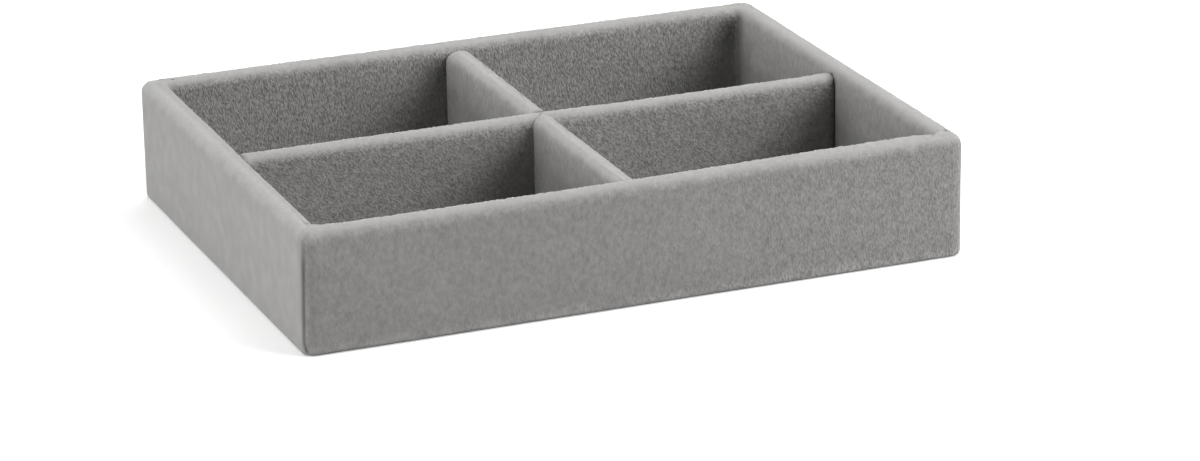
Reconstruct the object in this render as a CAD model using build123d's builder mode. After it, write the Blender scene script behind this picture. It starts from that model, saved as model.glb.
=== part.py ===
from build123d import *

import os
from math import sqrt

# Velvet-covered jewelry tray with four open compartments.
# Millimetres, +Z up. The origin is the middle of the underside, on the surface that the tray stands on.
# +X runs to the right along the long front side, +Y runs to the back.

os.makedirs("parts", exist_ok=True)

# Finished tray, measured over the velvet
tray_length = 125.0
tray_width = 95.0
tray_height = 22.9

# Velvet, with its backing cloth and pile
velvet = 0.7

# Boards of the case
base_thickness = 2.0
wall_thickness = 3.0
corner_round = 1.7
rim_round_share = 0.43

# The long strip of velvet that wraps the walls
inner_corner_round = 0.5
under_hem = 8.0
hem_cut = 0.3
seam_cut = 0.25
seam_angle = 37.0

# Sheet that covers the underside inside the hem
sheet_fit = 0.3
sheet_corner_round = 2.0

# Covered card that lines the floor
card_thickness = 1.0
floor_fit = 0.2

# Dividers, two boards in their own velvet, halved together where they cross
divider_board_thickness = 2.6
divider_round_share = 0.46
divider_drop = 1.2
divider_end_fit = 0.3
divider_end_round = 1.0
lap_fit = 0.15

# Length by which every cut runs past what it cuts
overrun = 1.0

# Levels above the surface that the tray stands on
base_top = velvet + base_thickness
board_top = tray_height - velvet
floor_top = base_top + card_thickness + velvet
divider_top = tray_height - divider_drop
lap_level = (floor_top + divider_top) / 2

# Plan sizes that follow from the velvet and the boards
board_length = tray_length - 2 * velvet
board_width = tray_width - 2 * velvet
well_length = board_length - 2 * wall_thickness
well_width = board_width - 2 * wall_thickness
inner_length = well_length - 2 * velvet
inner_width = well_width - 2 * velvet
divider_thickness = divider_board_thickness + 2 * velvet

# The boards' top edges are rounded by a share of their thickness, nearly half on the dividers
rim_round = wall_thickness * rim_round_share
divider_board_round = divider_board_thickness * divider_round_share

FROM_BELOW = (Align.CENTER, Align.CENTER, Align.MIN)


def finish(piece, name):
    """Names a finished piece and writes it to its own file."""
    piece.label = name
    export_step(piece, f"parts/{name}.step")


# Base board, a flat panel with rounded corners
with BuildPart() as base_board:
    with BuildSketch(Plane.XY.offset(velvet)):
        RectangleRounded(board_length, board_width, corner_round)
    extrude(amount=base_thickness)

finish(base_board.part, "base_board")

# The ring that the four wall boards make, with its rim rounded on both sides
with BuildPart() as wall_ring:
    with BuildSketch(Plane.XY.offset(base_top)):
        RectangleRounded(board_length, board_width, corner_round)
        Rectangle(well_length, well_width, mode=Mode.SUBTRACT)
    extrude(amount=board_top - base_top)
    fillet(wall_ring.faces().sort_by(Axis.Z)[-1].edges(), rim_round)


def wall_board(centre_x, centre_y, length_x, length_y):
    """The stretch of the wall ring that one board makes, standing on the base board."""
    with BuildPart() as board:
        add(wall_ring.part)
        with Locations((centre_x, centre_y, base_top)):
            Box(length_x, length_y, board_top - base_top, align=FROM_BELOW, mode=Mode.INTERSECT)
    return board.part


# Front and back boards run the full length, and the side boards stand between them
side_x = (board_length - wall_thickness) / 2
end_y = (board_width - wall_thickness) / 2
finish(wall_board(0, -end_y, board_length, wall_thickness), "front_wall_board")
finish(wall_board(0, end_y, board_length, wall_thickness), "back_wall_board")
finish(wall_board(-side_x, 0, wall_thickness, well_width), "left_wall_board")
finish(wall_board(side_x, 0, wall_thickness, well_width), "right_wall_board")

# Wall cover: one strip of velvet up the outside, over the rim, down the inside, and turned under the base.
# Its two ends meet at the front left corner.
hem_length = board_length - 2 * under_hem
hem_width = board_width - 2 * under_hem
mitre_length = (under_hem - wall_thickness - velvet) * sqrt(2)
seam_length = (wall_thickness + 2 * velvet) * sqrt(2)

with BuildPart() as wall_cover:
    with BuildSketch(Plane.XY):
        RectangleRounded(tray_length, tray_width, corner_round + velvet)
    extrude(amount=tray_height)
    with BuildSketch(Plane.XY.offset(base_top)):
        RectangleRounded(inner_length, inner_width, inner_corner_round)
    extrude(amount=tray_height - base_top, mode=Mode.SUBTRACT)
    fillet(wall_cover.faces().sort_by(Axis.Z)[-1].edges(), rim_round + velvet)
    fillet(wall_cover.faces().sort_by(Axis.Z)[0].edges(), velvet)
    add(base_board.part, mode=Mode.SUBTRACT)
    add(wall_ring.part, mode=Mode.SUBTRACT)
    with Locations((0, 0, -overrun)):
        Box(hem_length, hem_width, base_top + overrun, align=FROM_BELOW, mode=Mode.SUBTRACT)
    # The hem is cut at each corner, from its inner edge to below the wall, so that it lies flat
    for side_sign, end_sign, angle in ((1, 1, 45), (-1, 1, 135), (-1, -1, 225), (1, -1, 315)):
        with Locations(Location((side_sign * inner_length / 2, end_sign * inner_width / 2, 0), (0, 0, angle))):
            Box(
                mitre_length + overrun,
                hem_cut,
                velvet,
                align=(Align.MAX, Align.CENTER, Align.MIN),
                mode=Mode.SUBTRACT,
            )
    # The seam, through the strip where its two ends meet
    seam_place = Location((-inner_length / 2, -inner_width / 2, 0), (0, 0, seam_angle))
    with Locations(seam_place * Location((overrun, 0, 0))):
        Box(
            seam_length + 2 * overrun,
            seam_cut,
            tray_height + overrun,
            align=(Align.MAX, Align.CENTER, Align.MIN),
            mode=Mode.SUBTRACT,
        )

finish(wall_cover.part, "wall_cover")

# Bottom sheet: covers the underside inside the hem, level with it
with BuildPart() as bottom_sheet:
    with BuildSketch(Plane.XY):
        RectangleRounded(hem_length - 2 * sheet_fit, hem_width - 2 * sheet_fit, sheet_corner_round)
    extrude(amount=velvet)

finish(bottom_sheet.part, "bottom_sheet")

# Floor card and the velvet over it, which turns down past the card's edges
lining_length = inner_length - 2 * floor_fit
lining_width = inner_width - 2 * floor_fit

with BuildPart() as floor_card:
    with Locations((0, 0, base_top)):
        Box(lining_length - 2 * velvet, lining_width - 2 * velvet, card_thickness, align=FROM_BELOW)

finish(floor_card.part, "floor_card")

with BuildPart() as floor_lining:
    with BuildSketch(Plane.XY.offset(base_top)):
        RectangleRounded(lining_length, lining_width, inner_corner_round)
    extrude(amount=floor_top - base_top)
    fillet(floor_lining.faces().sort_by(Axis.Z)[-1].edges(), velvet / 2)
    add(floor_card.part, mode=Mode.SUBTRACT)

finish(floor_lining.part, "floor_lining")


def divider_form(plane, length, thickness, top, top_round, end_round):
    """An upright panel on the floor, centred on the tray, with its top edges rounded.

    The plane's normal is the way that the panel runs. The ends are rounded where end_round isn't 0.
    """
    with BuildPart() as panel:
        with BuildSketch(plane):
            with Locations((0, floor_top)):
                Rectangle(thickness, top - floor_top, align=(Align.CENTER, Align.MIN))
            fillet(vertices().group_by(Axis.Y)[-1], top_round)
        extrude(amount=length / 2, both=True)
        if end_round:
            for end in panel.faces().filter_by(plane):
                fillet(end.edges().sort_by(Axis.Z)[1:], end_round)
    return panel.part


def divider_pieces(name, plane, span, slot_size, slot_bottom, slot_top):
    """A divider's board and its velvet cover, both with the slot that the other divider passes through."""
    cover_length = span - 2 * divider_end_fit
    board_form = divider_form(
        plane,
        cover_length - 2 * velvet,
        divider_board_thickness,
        divider_top - velvet,
        divider_board_round,
        0,
    )
    cover_form = divider_form(
        plane,
        cover_length,
        divider_thickness,
        divider_top,
        divider_board_round + velvet,
        divider_end_round,
    )
    with BuildPart() as board:
        add(board_form)
        with Locations((0, 0, slot_bottom)):
            Box(*slot_size, slot_top - slot_bottom, align=FROM_BELOW, mode=Mode.SUBTRACT)
    finish(board.part, f"{name}_board")
    with BuildPart() as cover:
        add(cover_form)
        add(board_form, mode=Mode.SUBTRACT)
        with Locations((0, 0, slot_bottom)):
            Box(*slot_size, slot_top - slot_bottom, align=FROM_BELOW, mode=Mode.SUBTRACT)
    finish(cover.part, f"{name}_cover")


# The long divider is slotted from below, so its top runs unbroken through the crossing.
# The cross divider is slotted from above and passes under it.
slot_across = divider_thickness + 2 * lap_fit
slot_through = divider_thickness + 2 * overrun
divider_pieces(
    "long_divider",
    Plane.YZ,
    inner_length,
    (slot_across, slot_through),
    floor_top - overrun,
    lap_level + lap_fit,
)
divider_pieces(
    "cross_divider",
    Plane.XZ,
    inner_width,
    (slot_through, slot_across),
    lap_level - lap_fit,
    divider_top + overrun,
)
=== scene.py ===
"""A velvet-covered jewelry tray with four compartments, dressed around its packed boards.

Metres throughout. +X runs along the tray's long front side, +Y to the back and +Z up, and the origin is
the middle of the underside. The boards and the card come from the frame, and the velvet pieces are
modelled here over them.
"""

from math import cos, radians, sin, tan

import bmesh
import bpy
from mathutils import Matrix, Vector, noise


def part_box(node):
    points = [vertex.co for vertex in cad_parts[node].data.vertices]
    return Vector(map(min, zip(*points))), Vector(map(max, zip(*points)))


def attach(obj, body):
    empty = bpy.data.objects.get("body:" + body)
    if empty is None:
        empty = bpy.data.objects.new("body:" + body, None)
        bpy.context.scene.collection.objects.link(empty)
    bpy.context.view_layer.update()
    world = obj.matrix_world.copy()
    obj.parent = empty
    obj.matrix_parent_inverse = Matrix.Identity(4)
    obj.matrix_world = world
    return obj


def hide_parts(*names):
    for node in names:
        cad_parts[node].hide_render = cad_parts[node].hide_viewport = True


bl_info = {
    "name": "Velvet Jewelry Tray",
    "version": (1, 0, 0),
    "blender": (4, 5, 0),
    "location": "View3D > Sidebar > Tray",
    "description": "Models the velvet of a four-compartment jewelry tray around its boards",
    "category": "Object",
}

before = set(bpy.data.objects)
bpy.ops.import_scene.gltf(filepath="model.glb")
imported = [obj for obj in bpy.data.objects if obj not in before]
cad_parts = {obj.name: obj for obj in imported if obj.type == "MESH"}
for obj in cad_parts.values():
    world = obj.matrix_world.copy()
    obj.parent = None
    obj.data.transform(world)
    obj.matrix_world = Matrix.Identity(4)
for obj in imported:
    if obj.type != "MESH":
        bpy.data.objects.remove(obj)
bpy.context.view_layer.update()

MM = 0.001
BODY = "root"
PHOTO_WIDTH = 1200

CASE_LOW, CASE_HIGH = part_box("wall_cover")
BOARD_LOW, BOARD_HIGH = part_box("base_board")
VELVET = BOARD_LOW.x - CASE_LOW.x
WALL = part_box("left_wall_board")[1].x + VELVET - CASE_LOW.x
INNER_X = CASE_HIGH.x - WALL
INNER_Y = CASE_HIGH.y - WALL
LONG_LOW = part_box("long_divider_cover")[0]
CROSS_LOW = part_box("cross_divider_cover")[0]

X_AXIS = Vector((1, 0, 0))
Y_AXIS = Vector((0, 1, 0))
Z_AXIS = Vector((0, 0, 1))
ORIGIN = Vector((0, 0, 0))

# Material slots of each piece of velvet
PILE, BACKING = 0, 1

# How closely faces and edges are found by their place, their direction and their fold
PLACE_SLACK = 0.01 * MM
ALONG_SHARE = 0.99
FACING_SHARE = 0.9
FOLD_ANGLE = radians(30)

# Share of the covers' thickness that the sheet fills, which leaves room for its hollows
SHEET_SHARE = 0.85

# How far the velvet's slow unevenness and its tufts lie below the surface, as shares of their height
SWAY_SINK_SHARE = 0.5
TUFT_SINK_SHARE = 0.6

# Height of the smaller tufts as a share of the others', and how many times closer they stand
SMALL_TUFT_SHARE = 0.5
SMALL_TUFT_CLOSENESS = 2.1

# Between these, the pile's facing counts as turning towards an axis
TURN_SHARES = (0.4, 0.9)

# Where the painted shadow at a compartment's right end and the painted light that grows from its back end
# start and end, as shares of their reach
END_SHADE_REACH_SHARES = (1 / 12, 1.0)
BRIGHTENING_REACH_SHARES = (0.2, 1.0)

# How much the flecks fade in the painted shadow at a compartment's right end, and between which shares of
# the height this ends
SHADE_FLECK_LOSS_SHARE = 0.6
SHADE_FLECK_LOSS_HEIGHT_SHARES = (0.5, 0.9)


def length(name, description, default):
    """A length that the panel shows in the scene's units."""
    return bpy.props.FloatProperty(
        name=name, description=description, default=default, min=0.0, unit="LENGTH", precision=5
    )


def angle(name, description, default):
    """An angle that the panel shows in degrees."""
    return bpy.props.FloatProperty(name=name, description=description, default=default, subtype="ANGLE")


def tint(name, description, default):
    """A colour that the panel shows with a picker."""
    return bpy.props.FloatVectorProperty(
        name=name, description=description, default=default, min=0.0, max=1.0, size=3, subtype="COLOR"
    )


class TraySizes(bpy.types.PropertyGroup):
    """Sizes of the velvet over the boards."""

    sheet: length("Sheet", "Thickness of the velvet's cloth and pressed pile", SHEET_SHARE * VELVET)
    corner_round: length("Corner round", "Radius of the case's upright corners", 2.4 * MM)
    inner_round: length("Inner round", "Radius of the upright corners inside the case", 0.9 * MM)
    rim_round: length("Rim round", "Radius of the rim's two edges", 2.05 * MM)
    foot_round: length("Foot round", "Radius of the case's bottom edge", 0.8 * MM)
    floor_round: length("Floor round", "Radius of the floor velvet's turned edges", 1.0 * MM)
    hem: length("Hem", "Width of the velvet turned under the base", 8.7 * MM)
    hem_gap: length("Hem gap", "Width of the cut across the hem at each corner", 0.3 * MM)
    seam_roll: length("Seam roll", "Width of the strip's ends that sinks in at the seam", 0.8 * MM)
    seam_depth: length("Seam depth", "How far the strip's ends sink in at the seam", 0.22 * MM)
    seam_angle: angle("Seam angle", "Turn of the seam's foot across its corner", radians(34.1))
    seam_lean: angle("Seam lean", "How far the seam leans from upright, to the front", radians(2.26))
    seam_hook: length("Seam hook", "How far the seam's foot is drawn round the corner", 1.3 * MM)
    seam_hook_height: length("Seam hook height", "Height above which it isn't", 3.0 * MM)
    divider_round: length("Divider round", "Radius of the dividers' top edges", 1.88 * MM)
    divider_end_round: length("Divider end round", "Radius around the dividers' ends", 0.5 * MM)
    divider_end_reach: length("Divider end reach", "How far their pile nears the walls", 0.25 * MM)
    lap_fit: length("Lap fit", "Clearance where the dividers cross", 0.15 * MM)
    cope_fit: length("Cope fit", "Gap where one divider's pile lies over the other's top", 0.04 * MM)
    sheet_reach: length("Sheet reach", "How far the bottom sheet's pile nears the hem", 0.15 * MM)
    sheet_corner_round: length("Sheet corner round", "Radius of the bottom sheet's corners", 0.6 * MM)
    sheet_edge_round: length("Sheet edge round", "Radius of the bottom sheet's edges", 0.15 * MM)
    face_step: length("Face step", "Widest mesh edge on the velvet's faces", 1.3 * MM)
    edge_step: length("Edge step", "Widest mesh edge on the rim and the dividers' tops", 0.33 * MM)
    cross_drift: length("Cross drift", "How far the cross divider's front end lies left", 0.4 * MM)
    cross_creep: length("Cross creep", "How far its right side stands out at the back", 0.35 * MM)
    wall_bunch: length("Wall bunch", "How far its left side fills its corner at the back wall", 1.25 * MM)
    crossing_bunch: length("Crossing bunch", "How far it fills that at the long divider", 0.4 * MM)
    bunch_reach: length("Bunch reach", "Length over which it rises into those corners", 4.0 * MM)
    # The next width is that of the painted shade in the crease behind the crossing
    nick_width: length("Nick width", "Width of the dark crease behind the crossing", 0.8 * MM)
    long_dip: length("Long dip", "How far the long divider's right half lies lower", 0.18 * MM)
    # The next length is that of the painted shade at the long divider's ends
    end_dim: length("End dim", "Length of its ends that is pressed dark", 2.0 * MM)
    # The next length is that of the painted shadow at a compartment's right end
    end_shade_reach: length("Press reach", "Length of pressed pile at a compartment's right end", 12.0 * MM)
    # The next length is that of the painted shade beside the case's inside corners
    corner_shade_reach: length("Tuck reach", "Length of dark pile beside the case's inside corners", 4.5 * MM)
    # The next distance is that over which painted light grows away from a compartment's back end
    brightening_reach: length("Rub reach", "Distance of rubbed pile from a compartment's back end", 9.0 * MM)
    rim_dip: length("Rim dip", "How far the front rim's left half lies lower", 0.25 * MM)
    rim_swell: length("Rim swell", "How far that rim stands fuller towards its right end", 0.42 * MM)
    rim_creep: length("Rim creep", "How far the left rim stands out inwards at the back", 0.45 * MM)
    rim_shrink: length("Rim shrink", "How far it draws back there at the front", 0.2 * MM)
    sway: length("Sway", "Height of the slow unevenness of hand-laid velvet", 0.08 * MM)
    sway_length: length("Sway length", "Distance between high spots of that unevenness", 22.0 * MM)
    tuft: length("Tuft", "Height of the small tufts of the pile", 0.17 * MM)
    tuft_length: length("Tuft length", "Distance between those tufts", 0.45 * MM)


class TrayColours(bpy.types.PropertyGroup):
    """Colours of the velvet, the boards and the stage."""

    pile_deep: tint("Deep pile", "Velvet looked at straight on", (0.262, 0.258, 0.252))
    # The lit copy of the pile's colour: painted sheen on tops and rounded edges, painted light low on some
    # faces and at the foot, and the flecks' light spots
    pile_highlight: tint("Pile tips", "Velvet brushed smooth and on the rounded edges", (0.375, 0.37, 0.362))
    backing: tint("Backing", "Woven cloth on the back of the velvet", (0.16, 0.157, 0.152))
    fibreboard: tint("Fibreboard", "Boards inside the case", (0.3, 0.2, 0.115))
    card: tint("Card", "Card under the floor's velvet", (0.27, 0.255, 0.23))
    floor: tint("Floor", "Surface that the tray stands on, as seen", (0.95, 0.95, 0.95))
    floor_bounce: tint("Floor bounce", "The same surface as it lights the tray", (0.6, 0.6, 0.6))


def sizes():
    return bpy.context.scene.tray_sizes


def colours():
    return bpy.context.scene.tray_colours


# Finding faces and edges by their place and direction


def middle(edge):
    return (edge.verts[0].co + edge.verts[1].co) / 2


def near(value, place):
    return abs(value - place) < PLACE_SLACK


def along(edge, axis):
    """True where an edge runs along an axis."""
    run = edge.verts[1].co - edge.verts[0].co
    return abs(run[axis]) > ALONG_SHARE * run.length


def upright(edge):
    return along(edge, 2)


def folded(edge):
    """True where two faces meet at an edge with a clear fold."""
    return len(edge.link_faces) == 2 and edge.calc_face_angle() > FOLD_ANGLE


def folded_at(height):
    """A test for the folded edges that lie at a height."""
    return lambda edge: near(middle(edge).z, height) and folded(edge)


def faces_up(face):
    return face.normal.z > FACING_SHARE


def faces_down(face):
    return face.normal.z < -FACING_SHARE


def pick_faces(piece, wanted):
    """Selects the faces that the test wants, and nothing else."""
    bpy.ops.mesh.select_mode(type="FACE")
    bpy.ops.mesh.select_all(action="DESELECT")
    mesh = bmesh.from_edit_mesh(piece.data)
    for face in mesh.faces:
        if wanted(face):
            face.select_set(True)
    bmesh.update_edit_mesh(piece.data)


def pick_edges(piece, wanted):
    """Selects the edges that the test wants, says how many, and selects nothing else."""
    bpy.ops.mesh.select_mode(type="EDGE")
    bpy.ops.mesh.select_all(action="DESELECT")
    mesh = bmesh.from_edit_mesh(piece.data)
    found = [edge for edge in mesh.edges if wanted(edge)]
    for edge in found:
        edge.select_set(True)
    bmesh.update_edit_mesh(piece.data)
    return len(found)


# Steps in making a piece of velvet


def start_block(name, low, high):
    """A block of velvet between two corners, with its place in its mesh, open in edit mode."""
    bpy.ops.object.select_all(action="DESELECT")
    bpy.ops.mesh.primitive_cube_add(size=1, location=(low + high) / 2, scale=high - low)
    block = bpy.context.object
    block.name = name
    block.data.name = name
    bpy.ops.object.transform_apply(location=True, rotation=True, scale=True)
    block.data.materials.append(shared_material("grey_velvet", velvet_material))
    block.data.materials.append(shared_material("backing_cloth", backing_material))
    bpy.ops.object.mode_set(mode="EDIT")
    return block


def bevel(piece, wanted, radius, segments):
    """Rounds the edges that the test wants."""
    pick_edges(piece, wanted)
    bpy.ops.mesh.bevel(offset=radius, segments=segments)


def slice_at(piece, point, normal, wanted=lambda face: True):
    """Cuts the faces that the test wants along a plane."""
    pick_faces(piece, wanted)
    bpy.ops.mesh.bisect(plane_co=point, plane_no=normal)


def slice_sides(piece, high, inward):
    """Cuts straight across a piece at one distance in from each of its four sides."""
    for side in (-1, 1):
        slice_at(piece, X_AXIS * side * (high.x - inward), X_AXIS)
        slice_at(piece, Y_AXIS * side * (high.y - inward), Y_AXIS)


def drop_faces(piece, wanted):
    """Deletes the faces that the test wants."""
    pick_faces(piece, wanted)
    bpy.ops.mesh.delete(type="FACE")


def thicken(piece):
    """Gives the open sheet its thickness, inwards, with the backing cloth on its hidden side."""
    bpy.ops.object.mode_set(mode="OBJECT")
    shell = piece.modifiers.new("Sheet", "SOLIDIFY")
    shell.thickness = sizes().sheet
    shell.offset = -1
    shell.use_even_offset = True
    shell.material_offset = BACKING
    shell.material_offset_rim = BACKING
    bpy.ops.object.modifier_apply(modifier=shell.name)


def refine(piece, step, wanted=lambda place: True):
    """Halves the pile side's edges that the test wants until none is longer than the step."""
    bpy.ops.object.mode_set(mode="EDIT")

    def too_long(edge):
        if edge.calc_length() <= step or not wanted(middle(edge)):
            return False
        return any(face.material_index == PILE for face in edge.link_faces)

    while pick_edges(piece, too_long):
        bpy.ops.mesh.subdivide(number_cuts=1)
    bpy.ops.object.mode_set(mode="OBJECT")


def keep_pile_base(piece):
    """Stores where the pile side faces at each vertex, which its cut edges and tufts don't disturb."""
    mesh = bmesh.new()
    mesh.from_mesh(piece.data)
    base = {}
    for vertex in mesh.verts:
        facing = Vector((0, 0, 0))
        for loop in vertex.link_loops:
            if loop.face.material_index == PILE:
                facing += loop.face.normal * loop.calc_angle()
        if facing.length > 0:
            base[vertex.index] = facing.normalized()
    mesh.free()
    stored = piece.data.attributes.new("pile_base", "FLOAT_VECTOR", "POINT")
    for index, facing in base.items():
        stored.data[index].vector = facing
    return base


def ruffle(piece, base, sway, tuft_at):
    """Moves the pile side in: slowly changing, as hand-laid cloth lies, and finely, as tufts stand."""
    size = sizes()
    for index, facing in base.items():
        vertex = piece.data.vertices[index]
        slow = noise.noise(vertex.co / size.sway_length) - SWAY_SINK_SHARE
        tufts = vertex.co / size.tuft_length
        small = SMALL_TUFT_SHARE * noise.noise(tufts * SMALL_TUFT_CLOSENESS)
        fine = noise.noise(tufts) + small - TUFT_SINK_SHARE
        vertex.co += facing * (slow * sway + fine * tuft_at(vertex.co))


def paint(piece, base, name, value_of):
    """Stores a number from 0 to 1 at each vertex, worked out from its place and where its pile faces."""
    layer = piece.data.attributes.new(name, "FLOAT", "POINT")
    for index, facing in base.items():
        layer.data[index].value = value_of(piece.data.vertices[index].co, facing)


def paint_evenly(piece, base, **values):
    """Stores numbers that are the same all over a piece."""
    for name, value in values.items():
        paint(piece, base, name, lambda place, facing, value=value: value)


def hand_over(piece, slot, *nodes):
    """Shades a finished piece smoothly, and ties it to the frame."""
    bpy.ops.object.select_all(action="DESELECT")
    piece.select_set(True)
    bpy.context.view_layer.objects.active = piece
    bpy.ops.object.shade_smooth()
    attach(piece, BODY)
    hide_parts(*nodes)


# Numbers that change over the velvet


def even_step(value, low, high):
    """0 below low, 1 above high and a straight line between them."""
    return min(max((value - low) / (high - low), 0.0), 1.0)


def smooth_step(value, low, high):
    """0 below low, 1 above high and an even curve between them."""
    share = even_step(value, low, high)
    return share * share * (3 - 2 * share)


def fade(value, full, shares):
    """0 below the first share of a full length, 1 above the second and an even curve between them."""
    return smooth_step(value, shares[0] * full, shares[1] * full)


def near_top(place, top, radius, shares):
    """0 deeper below a top than the first share of its edges' radius, 1 above the second."""
    return smooth_step(place.z, top - shares[0] * radius, top - shares[1] * radius)


def turned(component):
    """1 where the pile faces along the axis of this part of its facing, and 0 where it faces across it."""
    return smooth_step(abs(component), *TURN_SHARES)


def shaded_end(place):
    """1 at the right end of the compartment that a place is in, where painted shadow lies, and 0 further
    to the left.
    """
    end = INNER_X if place.x > 0 else CROSS_LOW.x
    return 1 - fade(end - place.x, sizes().end_shade_reach, END_SHADE_REACH_SHARES)


def unshaded(place, top):
    """1 where the flecks show fully, and less low down at a compartment's right end, where they fade in
    the painted shadow.
    """
    return 1 - SHADE_FLECK_LOSS_SHARE * shaded_end(place) * (1 - fade(place.z, top, SHADE_FLECK_LOSS_HEIGHT_SHARES))


# Painted light on the faces grows with this, away from a compartment's back end
def brightened(place):
    """0 at the back end of the compartment that a place is in, and 1 further to the front."""
    end = INNER_Y if place.y > 0 else LONG_LOW.y
    return fade(end - place.y, sizes().brightening_reach, BRIGHTENING_REACH_SHARES)


# Materials


class Wire:
    """What a node puts out. Wires that carry numbers add, subtract and multiply as numbers do."""

    def __init__(self, wiring, socket):
        self.wiring = wiring
        self.socket = socket

    def __add__(self, other):
        return self.wiring.number("ADD", self, other)

    def __sub__(self, other):
        return self.wiring.number("SUBTRACT", self, other)

    def __rsub__(self, other):
        return self.wiring.number("SUBTRACT", other, self)

    def __mul__(self, other):
        return self.wiring.number("MULTIPLY", self, other)

    def __abs__(self):
        return self.wiring.number("ABSOLUTE", self)

    __radd__ = __add__


class Wiring:
    """Adds nodes to a material or a world and joins them. Each method but connect gives a wire."""

    # Sockets of a Mix node that hold its two colours and its result
    first_colour, second_colour, mixed_colour = 6, 7, 2

    def __init__(self, owner):
        self.nodes = owner.node_tree.nodes
        self.links = owner.node_tree.links

    def connect(self, node, inputs):
        """Sets a node's sockets to numbers and colours, or joins wires to them."""
        for name, value in inputs.items():
            if isinstance(value, Wire):
                self.links.new(value.socket, node.inputs[name])
            else:
                node.inputs[name].default_value = value

    def add(self, kind, output, inputs=None, **settings):
        """What a new node with these inputs and settings puts out."""
        node = self.nodes.new(kind)
        for name, value in settings.items():
            setattr(node, name, value)
        self.connect(node, inputs or {})
        return Wire(self, node.outputs[output])

    def number(self, operation, *values):
        """The result of an operation on one or two numbers."""
        return self.add("ShaderNodeMath", 0, dict(enumerate(values)), operation=operation)

    def vector(self, operation, first, second):
        """The result of an operation on two places."""
        return self.add("ShaderNodeVectorMath", "Vector", {0: first, 1: second}, operation=operation)

    def scaled(self, vector, factor):
        """A place or a colour times a number."""
        inputs = {0: vector, "Scale": factor}
        return self.add("ShaderNodeVectorMath", "Vector", inputs, operation="SCALE")

    def noise(self, place, size, detail=2.0, kind="FBM", roughness=0.5):
        """Soft noise with features of about the given size."""
        inputs = {"Vector": place, "Scale": 1 / size, "Detail": detail, "Roughness": roughness}
        return self.add("ShaderNodeTexNoise", "Fac", inputs, noise_type=kind)

    def bent(self, place, size, reach):
        """The same place, pushed about by noise, so that a pattern read there curls."""
        inputs = {"Vector": place, "Scale": 1 / size, "Detail": 1.0}
        push = self.vector("SUBTRACT", self.add("ShaderNodeTexNoise", "Color", inputs), (0.5, 0.5, 0.5))
        return self.vector("ADD", place, self.scaled(push, reach))

    def stretched(self, place, stretch):
        """The same place with each axis scaled, so that a pattern read there is drawn out."""
        return self.add("ShaderNodeMapping", "Vector", {"Vector": place, "Scale": stretch})

    def leaning(self, place, lean, stroke):
        """The same place turned and drawn out, so that a pattern read there lies in strokes."""
        turn = self.add("ShaderNodeCombineXYZ", "Vector", {"Y": lean})
        drawn = self.add("ShaderNodeCombineXYZ", "Vector", {"X": 1.0, "Y": 1.0, "Z": stroke})
        inputs = {"Vector": place, "Rotation": turn, "Scale": drawn}
        return self.add("ShaderNodeMapping", "Vector", inputs, vector_type="TEXTURE")

    def ramp(self, value, over, gives=(0.0, 1.0)):
        """A number moved from one range to another, with soft ends."""
        names = ("Value", "From Min", "From Max", "To Min", "To Max")
        inputs = dict(zip(names, (value, *over, *gives)))
        return self.add("ShaderNodeMapRange", "Result", inputs, interpolation_type="SMOOTHSTEP")

    def mix(self, share, first, second):
        """A colour between two."""
        inputs = {"Factor": share, self.first_colour: first, self.second_colour: second}
        return self.add("ShaderNodeMix", self.mixed_colour, inputs, data_type="RGBA")

    def painted(self, name, output="Fac"):
        """What the piece stores at each vertex."""
        return self.add("ShaderNodeAttribute", output, attribute_name=name)

    def pile_normal(self):
        """The direction that the pile's base faces, which its tufts don't disturb."""
        inputs = {"Vector": self.painted("pile_base", "Vector")}
        spaces = {"convert_from": "OBJECT", "convert_to": "WORLD"}
        return self.add("ShaderNodeVectorTransform", "Vector", inputs, vector_type="NORMAL", **spaces)

    def bump(self, height, distance, **under):
        """A surface with small hills, over another one if it is given as Normal."""
        inputs = {"Height": height, "Distance": distance, "Strength": 1.0, **under}
        return self.add("ShaderNodeBump", "Normal", inputs)

    def backdrop_share(self):
        """1 for rays that show the surroundings: straight, mirrored or through something clear."""
        rays = self.nodes.new("ShaderNodeLightPath").outputs
        straight = Wire(self, rays["Is Camera Ray"])
        mirrored = Wire(self, rays["Is Glossy Ray"])
        through = Wire(self, rays["Is Transmission Ray"])
        return self.number("MAXIMUM", self.number("MAXIMUM", straight, mirrored), through)


def new_material(name):
    """An empty material, its shader, its wiring and the place to read patterns from."""
    material = bpy.data.materials.new(name)
    material.use_nodes = True
    wiring = Wiring(material)
    wiring.nodes.clear()
    output = wiring.nodes.new("ShaderNodeOutputMaterial")
    shader = wiring.nodes.new("ShaderNodeBsdfPrincipled")
    wiring.links.new(shader.outputs["BSDF"], output.inputs["Surface"])
    return material, shader, wiring, wiring.add("ShaderNodeTexCoord", "Object")


def shared_material(name, maker):
    """A material that several pieces share, made once."""
    return bpy.data.materials.get(name) or maker(name)


def rgba(colour):
    return (*colour, 1.0)


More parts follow.
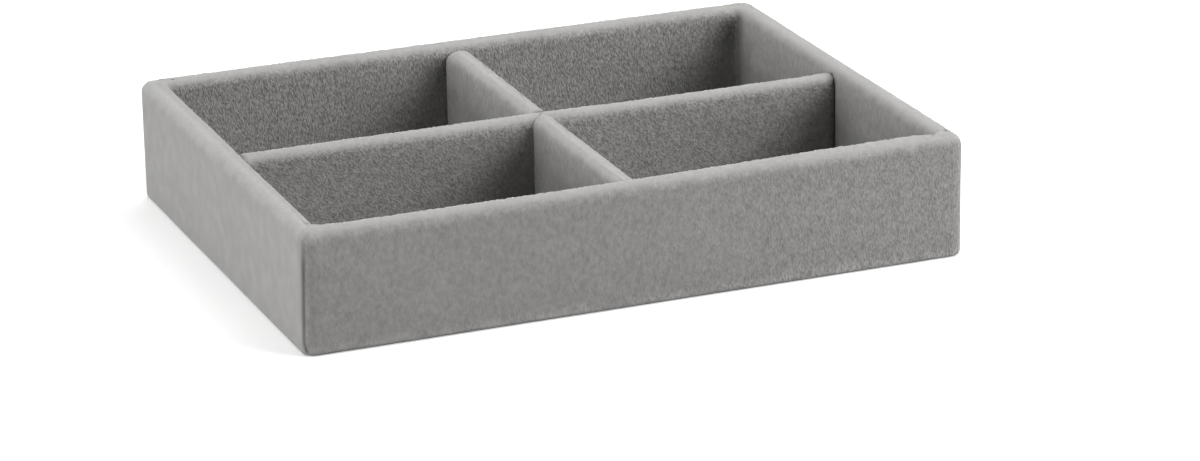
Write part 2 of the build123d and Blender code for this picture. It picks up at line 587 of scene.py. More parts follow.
def velvet_material(name):
    """Short grey pile: flecked where it stands open, even and paler where painted sheen lies over an edge,
    and darker where shade is painted.
    """
    material, shader, wiring, place = new_material(name)
    opened = wiring.painted("pile_open")
    pale = wiring.painted("pile_pale")
    strokes = wiring.leaning(place, wiring.painted("pile_lay"), wiring.painted("pile_stroke"))

    # Middle values of plain noise and of the flecks
    noise_middle, fleck_middle = 0.5, 0.56

    # Patterns of the pile, from the finest to the widest
    grain = wiring.noise(place, size=0.22 * MM)
    clumps = wiring.noise(strokes, size=0.5 * MM, detail=1.0)
    lit = wiring.ramp(abs(clumps - noise_middle), over=(0.015, 0.07), gives=(1.0, 0.0))
    shut = wiring.ramp(wiring.noise(strokes, size=0.3 * MM), over=(0.3, 0.64))
    lit_share, shut_share = 0.2, 0.8
    flecks = lit * lit_share + shut * shut_share
    curled = wiring.stretched(wiring.bent(place, size=3.0 * MM, reach=1.4 * MM), (1.0, 1.0, 0.65))
    combed = wiring.noise(curled, size=0.8 * MM)
    clouds = wiring.noise(place, size=3.0 * MM, detail=3.0)
    brushed = wiring.noise(place, size=16.0 * MM)

    # The painted highlight colour and the deep pile mix in blotches where one turns into the other
    blotch_strength = 3.5
    blotches = pale * (1.0 - pale) * ((clouds - noise_middle) * blotch_strength)
    highlights = wiring.ramp(pale + blotches + (flecks - fleck_middle) * opened, over=(0.0, 1.0))
    pile = wiring.mix(highlights, rgba(colours().pile_deep), rgba(colours().pile_highlight))

    # How much each pattern lightens and darkens the pile, and how much light is left in full painted shade
    fleck_reach = opened * 0.62 + wiring.ramp(pale, over=(0.3, 1.0), gives=(0.0, 0.08))
    grain_reach = opened * 0.35 + 0.05
    comb_reach = wiring.ramp(opened + pale * 0.1, over=(0.07, 0.13), gives=(0.05, 0.6))
    cloud_reach, brush_reach, painted_shade_light = 0.08, 0.1, 0.42
    light = 1.0 + (flecks - fleck_middle) * fleck_reach
    for pattern, reach in (
        (grain, grain_reach),
        (combed, comb_reach),
        (clouds, cloud_reach),
        (brushed, brush_reach),
    ):
        light = light + (pattern - noise_middle) * reach
    # Painted shade: the share stored on each piece darkens the pile's colour
    light = light * wiring.ramp(wiring.painted("pile_painted_shade"), over=(0.0, 1.0), gives=(1.0, painted_shade_light))

    open_hills, flat_hills = 0.85, 0.15
    hills = flecks * (opened * open_hills + flat_hills)
    relief = wiring.bump(combed, distance=0.05 * MM, Normal=wiring.pile_normal())
    looks = {
        "Base Color": wiring.scaled(pile, light),
        "Normal": wiring.bump(hills, distance=0.06 * MM, Normal=relief),
        "Roughness": 1.0,
        "Specular IOR Level": 0.05,
        "Sheen Weight": 0.4,
        "Sheen Roughness": 0.45,
        "Sheen Tint": rgba((0.9, 0.9, 0.89)),
    }
    wiring.connect(shader, looks)
    return material


def backing_material(name):
    """Fine plain-woven cloth that carries the pile."""
    material, shader, wiring, place = new_material(name)
    thread = {"Vector": place, "Scale": 1 / (2.4 * MM), "Distortion": 0.6}
    waves = [wiring.add("ShaderNodeTexWave", "Fac", thread, bands_direction=axis) for axis in "XYZ"]
    weave = waves[0] * waves[1] * waves[2]
    lint = wiring.noise(place, size=0.9 * MM, detail=3.0)
    ground, weave_share, lint_share = 0.75, 0.5, 0.3
    light = ground + (weave * weave_share + lint * lint_share)
    looks = {
        "Base Color": wiring.scaled(colours().backing, light),
        "Normal": wiring.bump(weave, distance=0.08 * MM),
        "Roughness": 0.95,
    }
    wiring.connect(shader, looks)
    return material


def fibreboard_material(name):
    """Pressed brown fibre: short chips, darker specks and a faint dust."""
    material, shader, wiring, place = new_material(name)
    flat = wiring.stretched(place, (0.5, 0.5, 2.5))
    chips = wiring.noise(flat, size=0.8 * MM, detail=4.0, roughness=0.7)
    specks = wiring.ramp(wiring.noise(place, size=0.5 * MM, detail=1.0), over=(0.62, 0.75))
    dust = wiring.noise(place, size=9.0 * MM, detail=3.0)
    ground, chip_share, dust_share, speck_share = 0.6, 0.55, 0.25, 0.25
    light = ground + chips * chip_share + dust * dust_share - specks * speck_share
    looks = {
        "Base Color": wiring.scaled(colours().fibreboard, light),
        "Normal": wiring.bump(chips, distance=0.05 * MM),
        "Roughness": wiring.ramp(dust, over=(0.3, 0.7), gives=(0.7, 0.9)),
    }
    wiring.connect(shader, looks)
    return material


def card_material(name):
    """Recycled grey card with paler and darker fibres."""
    material, shader, wiring, place = new_material(name)
    curled = wiring.bent(place, size=2.0 * MM, reach=1.5 * MM)
    fibres = wiring.noise(curled, size=0.5 * MM, detail=3.0, kind="RIDGED_MULTIFRACTAL")
    clouds = wiring.noise(place, size=6.0 * MM)
    ground, fibre_share, cloud_share = 0.7, 0.4, 0.25
    light = ground + fibres * fibre_share + clouds * cloud_share
    looks = {
        "Base Color": wiring.scaled(colours().card, light),
        "Normal": wiring.bump(fibres, distance=0.03 * MM),
        "Roughness": 0.9,
    }
    wiring.connect(shader, looks)
    return material


# The pieces


class TRAY_OT_wall_velvet(bpy.types.Operator):
    """Wrap the walls in one strip of velvet, over the rim and under the base"""

    bl_idname = "tray.wall_velvet"
    bl_label = "Wall Velvet"

    # Turn of the pile's strokes from upright, about Y, and their length as a multiple of their width
    inside_lay = radians(-14)
    outside_lay = radians(-10)
    stroke = 2.3

    # Mesh edges near the rim, as multiples of the edge step, and how deep they reach in rim rounds
    rim_mesh_shares = ((2, 1.3), (1, 0.5))

    # How far from the outside the left rim's pile lies, and how far the inside reaches in, in wall widths
    left_rim_share = 1.5
    inside_slack_share = 0.4

    # Cuts beside the seam, as steps of a share of its roll, and level ones as shares of its hook's height
    seam_cuts = range(-3, 9)
    seam_cut_share = 0.3
    hook_cut_shares = (0.4, 0.6, 0.8, 1.0)

    # Depth where the seam closes below the rim, in rim rounds, and heights where it starts, in foot rounds
    seam_close_share = 3.5
    seam_start_shares = (0.1, 1.0)

    # Depths below the rim, in rim rounds, between which these change
    tuft_depth_shares = (1.0, 0.4)
    open_depth_shares = (1.2, 0.2)
    end_shade_depth_shares = (1.8, 0.4)
    creep_depth_shares = (3.0, 1.0)

    # Depth of the rim's band of painted sheen, in rim rounds: inside, outside, and its loss outside to the
    # right
    inside_band_share = 1.2
    outside_band_share = 1.55
    band_loss_share = 0.45

    # Places along the tray, as shares of half its length, between which these change
    open_run_shares = (-0.5, 1.0)
    band_run_shares = (-0.5, 0.8)
    foot_run_shares = (-0.3, 1.0)

    # Where the front rim's swell grows and where it starts to end, as shares of half the inside length
    swell_run_shares = (-0.35, 1.0)
    swell_end_share = 0.9

    # Shares of the height between which these change
    pale_height_shares = (0.55, 0.85)
    dim_height_shares = (0.3, 0.8)
    end_shade_height_shares = (0.45, 0.8)
    corner_shade_height_shares = (0.5, 0.75)

    # How open the pile stands on the short faces, and its gain on the long ones and towards the right
    inside_open_share = 0.15
    outside_open_share = 0.04
    long_open_share = 0.13
    right_open_share = 0.45

    # How much painted light the short faces get, and how much painted light the foot gets and how high,
    # with the long faces' gain
    inside_pale_share = 0.75
    outside_pale_share = 0.24
    worn_share, long_worn_share = 0.3, 0.25
    worn_reach_share, long_reach_share = 2.5, 1.5

    # Upward facing from which the pile has all the painted sheen
    upward_share = 0.9

    # How dark the painted shade is: on the short faces, at the compartments' right ends, in the case's
    # corners, and the corners' gain further up
    dim_share = 0.24
    end_shade_share = 0.7
    tuck_share, high_tuck_share = 0.45, 0.35

    # Where the painted shade in the case's corners starts and ends, as shares of its reach
    corner_shade_reach_shares = (0.2, 1.0)

    # Downward facings between which the foot turns under and is flat, which bound the foot's painted
    # shade, and that shade's loss to the right
    foot_turn_shares = (0.3, 0.85)
    foot_flat_shares = (0.9, 0.98)
    foot_loss_share = 0.4

    def execute(self, context):
        size = sizes()
        wall = start_block("wall_velvet", CASE_LOW, CASE_HIGH)
        self.open_strip(wall)
        self.round_edges(wall)
        slice_sides(wall, CASE_HIGH, WALL + size.rim_round)
        slice_sides(wall, CASE_HIGH, size.hem + size.corner_round)
        for side in (-1, 1):
            for end in (-1, 1):
                self.cut_hem(wall, side, end)
        self.slice_seam(wall)

        thicken(wall)
        refine(wall, size.face_step, lambda place: place.z > CASE_LOW.z + size.foot_round / 2)
        for step_share, depth_share in self.rim_mesh_shares:
            depth = CASE_HIGH.z - depth_share * size.rim_round
            refine(wall, step_share * size.edge_step, lambda place, depth=depth: place.z > depth)
        base = keep_pile_base(wall)
        paint(wall, base, "pile_open", self.opened)
        paint(wall, base, "pile_pale", self.pale)
        paint(wall, base, "pile_lay", self.lay)
        paint_evenly(wall, base, pile_stroke=self.stroke)
        paint(wall, base, "pile_painted_shade", self.painted_shade)
        self.sink_seam(wall, base)
        ruffle(wall, base, size.sway, self.tuft_at)
        self.creep_left_rim(wall, base)
        self.swell_front_rim(wall, base)

        hand_over(wall, "case_velvet", "wall_cover")
        return {"FINISHED"}

    def open_strip(self, wall):
        """Makes the block one open strip: under the base, up the outside, over the rim and down inside."""
        pick_faces(wall, faces_up)
        bpy.ops.mesh.inset(thickness=WALL)
        down = BOARD_HIGH.z - CASE_HIGH.z
        bpy.ops.mesh.extrude_region_move(TRANSFORM_OT_translate={"value": (0, 0, down)})
        bpy.ops.mesh.delete(type="ONLY_FACE")
        pick_faces(wall, faces_down)
        bpy.ops.mesh.inset(thickness=sizes().hem)
        bpy.ops.mesh.delete(type="ONLY_FACE")

        slice_at(wall, ORIGIN, X_AXIS)
        slice_at(wall, ORIGIN, Y_AXIS)
        pick_edges(wall, lambda edge: not any(along(edge, axis) for axis in range(3)))
        bpy.ops.mesh.dissolve_edges(use_verts=False)

    def round_edges(self, wall):
        """Rounds the upright corners outside and inside, the rim and the foot."""
        size = sizes()

        def outside(edge):
            at_corner = near(abs(middle(edge).x), CASE_HIGH.x) and near(abs(middle(edge).y), CASE_HIGH.y)
            return upright(edge) and at_corner

        bevel(wall, outside, size.corner_round, segments=6)
        bevel(wall, lambda edge: upright(edge) and folded(edge), size.inner_round, segments=3)
        bevel(wall, folded_at(CASE_HIGH.z), size.rim_round, segments=6)
        bevel(wall, folded_at(CASE_LOW.z), size.foot_round, segments=3)

    def cut_hem(self, wall, side, end):
        """Cuts the hem across at a corner, so that it lies flat."""
        size = sizes()
        corner_zone = size.hem + size.corner_round
        inner = Vector((side * INNER_X, end * INNER_Y, CASE_LOW.z))
        inward = Vector((-side, -end, 0)).normalized()
        across = Vector((-inward.y, inward.x, 0))
        reach = (size.hem - WALL) * 2**0.5 + size.hem_gap

        def in_corner(face):
            centre = face.calc_center_median()
            beside = centre.x * side > CASE_HIGH.x - corner_zone
            behind = centre.y * end > CASE_HIGH.y - corner_zone
            return beside and behind and near(centre.z, CASE_LOW.z)

        def in_gap(face):
            offset = face.calc_center_median() - inner
            level = 0 < offset.dot(inward) < reach
            return level and abs(offset.dot(across)) < size.hem_gap / 2 and in_corner(face)

        for edge in (-1, 1):
            slice_at(wall, inner + across * edge * size.hem_gap / 2, across, in_corner)
        slice_at(wall, inner, inward, in_corner)
        slice_at(wall, inner + inward * reach, inward, in_corner)
        drop_faces(wall, in_gap)

    def slice_seam(self, wall):
        """Divides the front left corner finely, for the seam where the strip's two ends meet."""
        size = sizes()
        corner_zone = WALL + size.rim_round
        inner = Vector((CASE_LOW.x + WALL, CASE_LOW.y + WALL, CASE_LOW.z))
        across = Vector((sin(size.seam_angle), -cos(size.seam_angle), 0))

        def on_outside(face):
            centre = face.calc_center_median()
            outer = abs(centre.x) > CASE_HIGH.x - WALL / 2 or abs(centre.y) > CASE_HIGH.y - WALL / 2
            return outer and centre.z < CASE_HIGH.z - size.rim_round

        def in_corner(face):
            centre = face.calc_center_median()
            beside = centre.x < CASE_LOW.x + corner_zone and centre.y < CASE_LOW.y + corner_zone
            return beside and on_outside(face)

        for step in self.seam_cuts:
            slice_at(wall, inner + across * step * self.seam_cut_share * size.seam_roll, across, in_corner)
        for share in self.hook_cut_shares:
            slice_at(wall, Z_AXIS * share * size.seam_hook_height, Z_AXIS, on_outside)

    def off_seam(self, place):
        """The distance from the seam, which leans up the corner and hooks round at its foot."""
        size = sizes()
        offset = place - Vector((CASE_LOW.x + WALL, CASE_LOW.y + WALL, 0))
        level = offset.x * sin(size.seam_angle) - offset.y * cos(size.seam_angle)
        drawn = size.seam_hook * max(1 - place.z / size.seam_hook_height, 0.0) ** 2
        return abs(level - place.z * tan(size.seam_lean) - drawn)

    def seam_share(self, place):
        """1 on the seam's line up the corner, and 0 off it and where the pile closes over it."""
        size = sizes()
        if place.x > CASE_LOW.x + WALL or place.y > CASE_LOW.y + WALL:
            return 0.0
        closed = even_step(place.z, CASE_HIGH.z - self.seam_close_share * size.rim_round, CASE_HIGH.z)
        above_foot = fade(place.z, size.foot_round, self.seam_start_shares)
        # This share sinks the seam's pile and also sets the painted shade along the seam
        return (1 - smooth_step(self.off_seam(place), 0.0, size.seam_roll)) * (1 - closed) * above_foot

    def sink_seam(self, wall, base):
        """Lets the strip's two ends sink in towards the board at the seam."""
        for index, facing in base.items():
            vertex = wall.data.vertices[index]
            vertex.co -= facing * sizes().seam_depth * self.seam_share(vertex.co)

    def creep_left_rim(self, wall, base):
        """Lets the left rim's velvet stand out inwards at the back, and draw back at the front."""
        size = sizes()
        for index, facing in base.items():
            place = wall.data.vertices[index].co
            if facing.x > 0 and place.x < CASE_LOW.x + self.left_rim_share * WALL:
                along_rim = even_step(place.y, -INNER_Y, INNER_Y)
                stand = (size.rim_creep + size.rim_shrink) * along_rim - size.rim_shrink
                place += facing * facing.x * stand * self.near_rim(place, self.creep_depth_shares)

    def swell_front_rim(self, wall, base):
        """Lets the front rim's velvet lie lower on the left half, and stand fuller to the right."""
        size = sizes()
        for index, facing in base.items():
            place = wall.data.vertices[index].co
            if facing.z > 0 and place.y < CASE_LOW.y + WALL:
                swollen = fade(place.x, INNER_X, self.swell_run_shares)
                rise = (size.rim_dip + size.rim_swell) * swollen - size.rim_dip
                near_corner = smooth_step(abs(place.x), self.swell_end_share * INNER_X, INNER_X + WALL / 2)
                place += facing * facing.z * rise * (1 - near_corner)

    def near_rim(self, place, shares):
        """0 deep below the rim and 1 near it, between two depths in rim rounds."""
        return near_top(place, CASE_HIGH.z, sizes().rim_round, shares)

    def tuft_at(self, place):
        """The height of the tufts at a place."""
        return sizes().tuft * self.near_rim(place, self.tuft_depth_shares)

    def is_inside(self, place):
        slack = self.inside_slack_share * WALL
        return abs(place.x) < INNER_X + slack and abs(place.y) < INNER_Y + slack

    def lay(self, place, facing):
        """The turn of the pile's strokes."""
        return self.inside_lay if self.is_inside(place) else self.outside_lay

    def opened(self, place, facing):
        """How open the pile stands."""
        long_face = turned(facing.y)
        below_rim = 1 - self.near_rim(place, self.open_depth_shares)
        if self.is_inside(place):
            face = self.inside_open_share + (1 - self.inside_open_share) * long_face
            return below_rim * face * unshaded(place, CASE_HIGH.z)
        right = fade(place.x, CASE_HIGH.x, self.open_run_shares)
        gain = self.long_open_share + self.right_open_share * right
        return below_rim * (self.outside_open_share + long_face * gain)

    def pale(self, place, facing):
        """How much painted light the pile gets: sheen on the rim and on pile facing up, light on the short
        faces and at the foot.
        """
        size = sizes()
        long_face = turned(facing.y)
        # Painted sheen on pile that faces up
        upward = even_step(facing.z, 0.0, self.upward_share)
        # Painted light at the foot, where the floor lights it
        worn_reach = (self.worn_reach_share + self.long_reach_share * long_face) * size.foot_round
        worn = self.worn_share + self.long_worn_share * long_face
        worn *= 1 - smooth_step(place.z, 0.0, worn_reach)
        if self.is_inside(place):
            depth = self.inside_band_share
            # Painted light low on the inside short faces, fading towards the back end
            low_down = 1 - fade(place.z, CASE_HIGH.z, self.pale_height_shares)
            face = self.inside_pale_share * turned(facing.x) * brightened(place) * low_down
        else:
            depth = self.outside_band_share
            depth -= self.band_loss_share * fade(place.x, CASE_HIGH.x, self.band_run_shares)
            # Painted sheen on the outside short faces
            face = self.outside_pale_share * turned(facing.x)
        # Painted sheen in a band along the rim
        band = even_step(place.z, CASE_HIGH.z - depth * size.rim_round, CASE_HIGH.z)
        return min(max(upward, band, face, worn), 1.0)

    def painted_shade(self, place, facing):
        """How dark the painted shade is: along the seam, on the foot where it turns under, and inside as
        below.
        """
        if self.is_inside(place):
            return self.painted_shade_inside(place, facing)
        # Painted shade on the foot where it turns under towards the floor
        foot_shade = smooth_step(-facing.z, *self.foot_turn_shares)
        foot_shade *= 1 - smooth_step(-facing.z, *self.foot_flat_shares)
        to_right = fade(place.x, CASE_HIGH.x, self.foot_run_shares)
        return max(self.seam_share(place), foot_shade * (1 - self.foot_loss_share * to_right))

    def painted_shade_inside(self, place, facing):
        """The painted shade inside: on the short faces, at the compartments' right ends and in the case's
        corners.
        """
        reach = sizes().corner_shade_reach
        top = CASE_HIGH.z
        short_face = turned(facing.x)
        # Painted shade on the inside short faces, darker towards their top
        dim = self.dim_share * short_face * fade(place.z, top, self.dim_height_shares)
        risen = fade(place.z, top, self.end_shade_height_shares)
        below_edge = 1 - self.near_rim(place, self.end_shade_depth_shares)
        # Painted shadow on the long faces at a compartment's right end, below the rim
        pressed = self.end_shade_share * turned(facing.y) * shaded_end(place) * risen * below_edge
        # Painted shade on the short faces beside the case's inside corners, darker higher up
        beside = 1 - fade(INNER_Y - abs(place.y), reach, self.corner_shade_reach_shares)
        gain = self.high_tuck_share * fade(place.z, top, self.corner_shade_height_shares)
        corner_shade = short_face * beside * (self.tuck_share + gain)
        return max(dim, pressed, (1 - self.near_rim(place, self.open_depth_shares)) * corner_shade)


class Divider:
    """A divider's velvet. Its length runs along an axis, and it is notched where the other one crosses."""

    # Length of the pile's strokes as a multiple of their width
    stroke = 1.7

    # Depths below the top, in rounds of its edges, where the mesh is fine and between which these change
    mesh_depth_share = 0.8
    tuft_depth_shares = (1.1, 0.6)
    open_depth_shares = (1.3, 0.25)
    band_depth_shares = (1.5, 0.2)

    # Upward facing from which the pile has all the painted sheen
    upward_share = 0.85

    # Shares of the height between which the sides' painted light changes
    side_height_shares = (0.5, 0.85)

    # Share of the sides' painted light that is left at the compartments' back ends
    back_light_share = 0.65

    def __init__(self):
        size = sizes()
        self.low, self.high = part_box(self.node)
        self.low[self.run] -= size.divider_end_reach
        self.high[self.run] += size.divider_end_reach
        self.other_low, self.other_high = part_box(self.other_node)
        self.half_notch = self.other_high[self.run] + size.lap_fit

    def cover(self):
        """Makes the velvet, from a block to the finished piece."""
        size = sizes()
        velvet = start_block(self.name, self.low, self.high)
        self.round_edges(velvet)
        self.cut_notch(velvet)
        thicken(velvet)
        self.fit_notch(velvet)
        refine(velvet, size.face_step)
        depth = self.high.z - self.mesh_depth_share * size.divider_round
        refine(velvet, size.edge_step, lambda place: place.z > depth)
        base = keep_pile_base(velvet)
        paint(velvet, base, "pile_open", self.opened)
        paint(velvet, base, "pile_pale", self.pale)
        paint_evenly(velvet, base, pile_lay=self.lay, pile_stroke=self.stroke)
        paint(velvet, base, "pile_painted_shade", self.painted_shade)
        ruffle(velvet, base, size.sway, self.tuft_at)
        self.settle(velvet, base)
        hand_over(velvet, "divider_velvet", self.node)

    def round_edges(self, velvet):
        """Rounds the top nearly all the way and the ends a little, and opens the foot."""
        size = sizes()
        low, high, run = self.low, self.high, self.run

        def top_edge(edge):
            return along(edge, run) and near(middle(edge).z, high.z)

        def end_outline(edge):
            at_end = near(abs(middle(edge)[run]), high[run])
            return at_end and folded(edge) and not near(middle(edge).z, low.z)

        bevel(velvet, top_edge, size.divider_round, segments=12)
        bevel(velvet, end_outline, size.divider_end_round, segments=3)
        drop_faces(velvet, faces_down)

    def cut_notch(self, velvet):
        """Cuts out the half of the height where the other divider passes."""
        level = (self.low.z + self.high.z) / 2
        axis = (X_AXIS, Y_AXIS)[self.run]
        for side in (-1, 1):
            slice_at(velvet, axis * side * self.half_notch, axis)
        slice_at(velvet, Z_AXIS * level, Z_AXIS)

        def in_notch(face):
            centre = face.calc_center_median()
            return abs(centre[self.run]) < self.half_notch and (centre.z - level) * self.notch_side > 0

        drop_faces(velvet, in_notch)

    def near_head(self, place, shares):
        """0 deep below the top and 1 near it, between two depths in rounds of its edges."""
        return near_top(place, self.high.z, sizes().divider_round, shares)

    def tuft_at(self, place):
        """The height of the tufts at a place."""
        return sizes().tuft * self.near_head(place, self.tuft_depth_shares)

    def opened(self, place, facing):
        """How open the pile stands."""
        return (1 - self.near_head(place, self.open_depth_shares)) * self.open_share

    def pale(self, place, facing):
        """How much painted light the pile gets: sheen on the top, and light on the sides that fades
        towards the back ends.
        """
        radius = sizes().divider_round
        lowest, highest = (self.high.z - share * radius for share in self.band_depth_shares)
        upward = even_step(facing.z, 0.0, self.upward_share)
        band = even_step(place.z, lowest, highest)
        # Painted light on the sides, from their foot to their top
        height = fade(place.z, self.high.z, self.side_height_shares)
        side = self.foot_pale_share + (self.head_pale_share - self.foot_pale_share) * height
        worn = self.back_light_share + (1 - self.back_light_share) * brightened(place)
        return max(upward, band, side * worn)


class LongDivider(Divider):
    """The divider that runs along the tray, notched from below."""

    name = "long_divider_velvet"
    node = "long_divider_cover"
    other_node = "cross_divider_cover"
    run = 0
    notch_side = -1

    # Turn of the pile's strokes, how open the sides are and how much painted light they get, and how dark
    # the painted shade at the ends is
    lay = radians(-46)
    open_share = 0.8
    foot_pale_share = 0.0
    head_pale_share = 0.0
    end_dim_share = 0.6

    # Shares of the half length where the lower stretch starts and ends
    dip_start_shares = (0.14, 0.26)
    dip_end_shares = (0.9, 1.0)

    def fit_notch(self, velvet):
        """Leaves the notch straight, because its edges stand beside the other divider's flat sides."""

    def opened(self, place, facing):
        """How open the pile stands, which is less where the flecks fade in the painted shadow at a
        compartment's right end.
        """
        return super().opened(place, facing) * unshaded(place, self.high.z)

    def painted_shade(self, place, facing):
        """How dark the painted shade is at the ends, beside the walls."""
        end = self.high.x
        # Painted shade at both ends, beside the walls
        return self.end_dim_share * smooth_step(abs(place.x), end - sizes().end_dim, end)

    def settle(self, velvet, base):
        """Lets the velvet lie a little lower to the right of the crossing."""
        end = self.high.x
        for index, facing in base.items():
            place = velvet.data.vertices[index].co
            share = fade(place.x, end, self.dip_start_shares)
            share *= 1 - fade(place.x, end, self.dip_end_shares)
            place -= facing * max(facing.z, 0.0) * sizes().long_dip * share


class CrossDivider(Divider):
    """The divider that runs from front to back, notched from above."""

    name = "cross_divider_velvet"
    node = "cross_divider_cover"
    other_node = "long_divider_cover"
    run = 1
    notch_side = 1

    # Turn of the pile's strokes, how open the sides are, and how much painted light they get low down and
    # at the top
    lay = 0.0
    open_share = 0.12
    foot_pale_share = 1.0
    head_pale_share = 0.22

    # The painted shade in the crease behind the crossing: where it ends, in widths of it, where its sides
    # end, in rounds of the top's edges, and how dark it is before it is broken up
    nick_length_shares = (1, 3)
    nick_half_shares = (0.4, 0.8)
    nick_dark_share = 1.1

    # Share of the front half's length where the drift to the left is full
    drift_full_share = 0.7

    def fit_notch(self, velvet):
        """Carries the notch's edges over the other divider's rounded top, as its pile does."""
        size = sizes()
        radius = size.divider_round
        arc_start = self.other_high.z - radius
        half_flat = self.other_high.y - radius
        for vertex in velvet.data.vertices:
            rise = vertex.co.z - arc_start
            if rise > 0 and near(abs(vertex.co.y), self.half_notch):
                reach = half_flat + max(radius**2 - rise**2, 0.0) ** 0.5 + size.cope_fit
                vertex.co.y = reach if vertex.co.y > 0 else -reach

    def painted_shade(self, place, facing):
        """How dark the painted shade is in the nick behind the crossing."""
        if place.y <= 0:
            return 0.0
        size = sizes()
        crease = 1 - fade(place.y, size.nick_width, self.nick_length_shares)
        on_top = 1 - fade(abs(place.x), size.divider_round, self.nick_half_shares)
        # Painted shade in the crease, broken up by noise
        return crease * on_top * min(self.nick_dark_share + noise.noise(place / size.tuft_length), 1.0)

    def settle(self, velvet, base):
        """Lets the pile drift left towards the front end, and bunch up in the left inner corners."""
        size = sizes()
        back = self.high.y
        for index, facing in base.items():
            place = velvet.data.vertices[index].co
            drift = size.cross_drift * even_step(-place.y, -back, self.drift_full_share * back)
            at_wall = (back, size.wall_bunch)
            at_crossing = (self.other_low.y, size.crossing_bunch)
            corner, bunch = at_wall if place.y > 0 else at_crossing
            closeness = 1 - even_step(abs(corner - place.y), 0.0, size.bunch_reach)
            place.x -= drift + bunch * closeness**2 * max(-facing.x, 0.0)
            place.x += size.cross_creep * even_step(place.y, 0.0, back) * max(facing.x, 0.0)


class TRAY_OT_divider_velvet(bpy.types.Operator):
    """Cover both dividers in velvet, notched where they cross"""

    bl_idname = "tray.divider_velvet"
    bl_label = "Divider Velvet"

    def execute(self, context):
        LongDivider().cover()
        CrossDivider().cover()
        return {"FINISHED"}


class TRAY_OT_floor_velvet(bpy.types.Operator):
    """Lay the floor's velvet over its card, turned down at the edges"""

    bl_idname = "tray.floor_velvet"
    bl_label = "Floor Velvet"

    # Height of the slow unevenness over the flat card, as a share of that over the boards
    sway_share = 0.5

    def execute(self, context):
        size = sizes()
        low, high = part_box("floor_lining")
        floor = start_block("floor_velvet", low, high)
        bevel(floor, upright, size.inner_round, segments=3)
        bevel(floor, folded_at(high.z), size.floor_round, segments=4)
        drop_faces(floor, faces_down)
        slice_sides(floor, high, size.inner_round + size.floor_round)
        thicken(floor)
        refine(floor, size.face_step)
        base = keep_pile_base(floor)
        ruffle(floor, base, self.sway_share * size.sway, lambda place: 0.0)
        paint_evenly(floor, base, pile_open=0.75, pile_pale=0.25, pile_stroke=1.0)
        hand_over(floor, "floor_velvet", "floor_lining")
        return {"FINISHED"}


class TRAY_OT_underside_velvet(bpy.types.Operator):
    """Cover the underside, inside the hem"""

    bl_idname = "tray.underside_velvet"
    bl_label = "Underside Velvet"

    def execute(self, context):
        size = sizes()
        low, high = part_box("bottom_sheet")
        reach = Vector((size.sheet_reach, size.sheet_reach, 0))
        low -= reach
        high += reach
        sheet = start_block("underside_velvet", low, high)
        bevel(sheet, upright, size.sheet_corner_round, segments=5)
        bevel(sheet, folded_at(low.z), size.sheet_edge_round, segments=2)
        bpy.ops.object.mode_set(mode="OBJECT")
        for face in sheet.data.polygons:
            if faces_up(face):
                face.material_index = BACKING
        base = keep_pile_base(sheet)
        paint_evenly(sheet, base, pile_open=0.5, pile_pale=0.2, pile_stroke=1.0)
        hand_over(sheet, "underside_velvet", "bottom_sheet")
        return {"FINISHED"}


class TRAY_OT_board_finishes(bpy.types.Operator):
    """Finish the boards and the card inside the velvet"""

    bl_idname = "tray.board_finishes"
    bl_label = "Board Finishes"

    def execute(self, context):
        for name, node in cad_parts.items():
            if name.endswith("_board"):
                self.finish(node, shared_material("fibreboard", fibreboard_material))
        self.finish(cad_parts["floor_card"], shared_material("grey_card", card_material))
        return {"FINISHED"}

    def finish(self, node, material):
        for slot in node.material_slots:
            slot.material = material


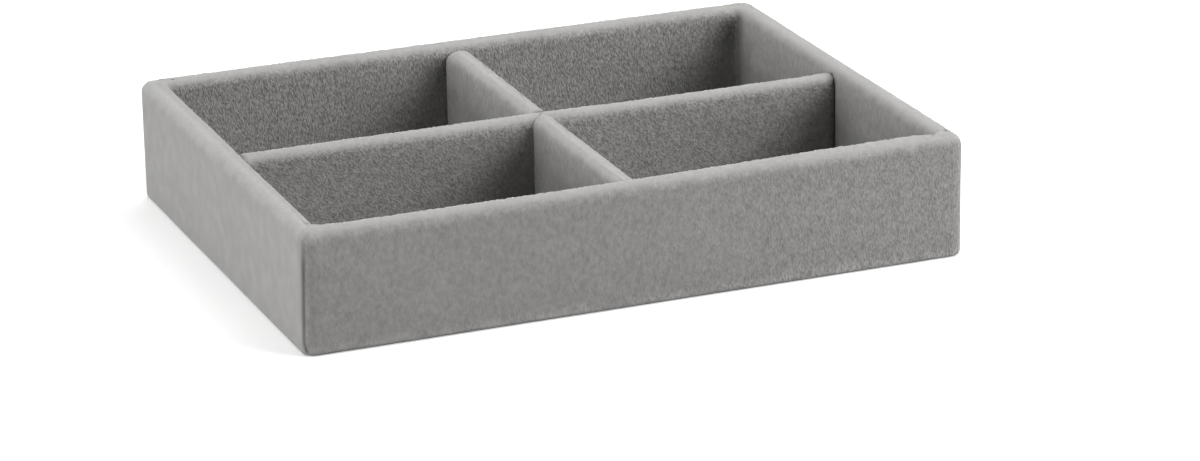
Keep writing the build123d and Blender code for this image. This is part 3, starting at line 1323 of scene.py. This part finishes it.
class TRAY_OT_stage(bpy.types.Operator):
    """Set up the pale floor, the soft lamps and the camera"""

    bl_idname = "tray.stage"
    bl_label = "Stage"

    # Camera, as it stood for the photograph
    camera_azimuth = radians(-21.946)
    camera_elevation = radians(19.364)
    camera_roll = radians(-0.903)
    camera_distance = 820.6 * MM
    camera_right = 10.40 * MM
    camera_up = -11.93 * MM
    camera_range = (0.01, 20.0)
    focal_pixels = 4475.4
    sensor = 36.0

    # Floor, whose own light softens the shadows on it, and whose haze is a faint change of its tone
    floor_width = 6.0
    floor_drop = 0.02 * MM
    floor_glow = 0.3
    haze_size = 0.4
    haze_shares = (0.99, 1.01)

    # Lamps: degrees around and up, watts, width and height, all at one distance from the tray
    lamps = {
        "low_key": (-30, 20, 4.9, 0.5, 0.5),
        "high_key": (-40, 38, 6.3, 0.5, 0.5),
        "low_strip": (180, 7, 7.3, 0.8, 0.14),
        "high_left": (180, 60, 3.9, 0.5, 0.5),
        "high_back": (60, 60, 4.3, 0.5, 0.5),
    }
    lamp_distance = 1.0

    def execute(self, context):
        self.add_floor()
        self.add_surround()
        for name, values in self.lamps.items():
            self.add_lamp(name, *values)
        self.add_camera()
        context.scene.view_settings.view_transform = "Standard"
        return {"FINISHED"}

    def add_floor(self):
        """A wide pale floor, plain to the camera."""
        bpy.ops.object.select_all(action="DESELECT")
        bpy.ops.mesh.primitive_plane_add(size=self.floor_width, location=(0, 0, -self.floor_drop))
        floor = bpy.context.object
        floor.name = "stage_floor"
        material, shader, wiring, place = new_material("stage_floor")
        pattern = wiring.noise(place, size=self.haze_size, detail=1.0)
        haze = wiring.ramp(pattern, over=(0.3, 0.7), gives=self.haze_shares)
        seen = wiring.backdrop_share()
        shown = wiring.mix(seen, rgba(colours().floor_bounce), rgba(colours().floor))
        looks = {
            "Base Color": wiring.scaled(shown, haze),
            "Emission Color": rgba(colours().floor),
            "Emission Strength": seen * self.floor_glow,
            "Roughness": 1.0,
            "Specular IOR Level": 0.0,
        }
        wiring.connect(shader, looks)
        floor.data.materials.append(material)

    def add_surround(self):
        """A surround that is white to the camera and gives no light of its own."""
        world = bpy.data.worlds.new("studio")
        bpy.context.scene.world = world
        world.use_nodes = True
        wiring = Wiring(world)
        wiring.nodes.clear()
        dark, white = (
            wiring.add("ShaderNodeBackground", 0, {"Color": rgba((1.0, 1.0, 1.0)), "Strength": strength})
            for strength in (0.0, 1.0)
        )
        shown = wiring.add("ShaderNodeMixShader", 0, {"Fac": wiring.backdrop_share(), 1: dark, 2: white})
        wiring.connect(wiring.nodes.new("ShaderNodeOutputWorld"), {"Surface": shown})

    def add_lamp(self, name, azimuth, elevation, watts, width, height):
        """A soft studio lamp that shines at the tray."""
        lamp = bpy.data.lights.new(name, "AREA")
        lamp.shape = "RECTANGLE"
        lamp.size = width
        lamp.size_y = height
        lamp.energy = watts
        holder = bpy.data.objects.new(name, lamp)
        bpy.context.scene.collection.objects.link(holder)
        turn, rise = radians(azimuth), radians(elevation)
        away = Vector((cos(turn) * cos(rise), sin(turn) * cos(rise), sin(rise)))
        holder.location = away * self.lamp_distance
        holder.rotation_mode = "QUATERNION"
        target = Vector((0, 0, CASE_HIGH.z / 2))
        holder.rotation_quaternion = (target - holder.location).to_track_quat("-Z", "Y")

    def add_camera(self):
        """The photograph's viewpoint, fitted to the tray's outline there."""
        camera = bpy.data.cameras.new("camera")
        camera.sensor_fit = "HORIZONTAL"
        camera.sensor_width = self.sensor
        camera.lens = self.focal_pixels / PHOTO_WIDTH * self.sensor
        camera.clip_start, camera.clip_end = self.camera_range
        holder = bpy.data.objects.new("camera", camera)
        bpy.context.scene.collection.objects.link(holder)
        azimuth, elevation, roll = self.camera_azimuth, self.camera_elevation, self.camera_roll
        back = Vector((sin(azimuth) * cos(elevation), -cos(azimuth) * cos(elevation), sin(elevation)))
        level = Vector((cos(azimuth), sin(azimuth), 0))
        above = back.cross(level)
        right = cos(roll) * level + sin(roll) * above
        up = -sin(roll) * level + cos(roll) * above
        target = Vector((0, 0, CASE_HIGH.z / 2))
        place = target + back * self.camera_distance + right * self.camera_right + up * self.camera_up
        turn = Matrix((right, up, back)).transposed().to_4x4()
        holder.matrix_world = Matrix.Translation(place) @ turn
        bpy.context.scene.camera = holder


class TRAY_PT_panel(bpy.types.Panel):
    """Sizes, colours and steps of the jewelry tray"""

    bl_idname = "TRAY_PT_panel"
    bl_label = "Velvet Jewelry Tray"
    bl_space_type = "VIEW_3D"
    bl_region_type = "UI"
    bl_category = "Tray"

    def draw(self, context):
        layout = self.layout
        for group in (context.scene.tray_sizes, context.scene.tray_colours):
            box = layout.box()
            for name in group.bl_rna.properties.keys():
                if name not in ("rna_type", "name"):
                    box.prop(group, name)
        for step in STEPS:
            layout.operator(step.bl_idname)


STEPS = (
    TRAY_OT_wall_velvet,
    TRAY_OT_divider_velvet,
    TRAY_OT_floor_velvet,
    TRAY_OT_underside_velvet,
    TRAY_OT_board_finishes,
    TRAY_OT_stage,
)
CLASSES = (TraySizes, TrayColours, *STEPS, TRAY_PT_panel)


def register():
    for item in CLASSES:
        bpy.utils.register_class(item)
    bpy.types.Scene.tray_sizes = bpy.props.PointerProperty(type=TraySizes)
    bpy.types.Scene.tray_colours = bpy.props.PointerProperty(type=TrayColours)


def unregister():
    del bpy.types.Scene.tray_colours
    del bpy.types.Scene.tray_sizes
    for item in reversed(CLASSES):
        bpy.utils.unregister_class(item)


def main():
    """Makes every piece and the stage."""
    register()
    bpy.ops.tray.wall_velvet()
    bpy.ops.tray.divider_velvet()
    bpy.ops.tray.floor_velvet()
    bpy.ops.tray.underside_velvet()
    bpy.ops.tray.board_finishes()
    bpy.ops.tray.stage()


if __name__ == "__main__":
    main()
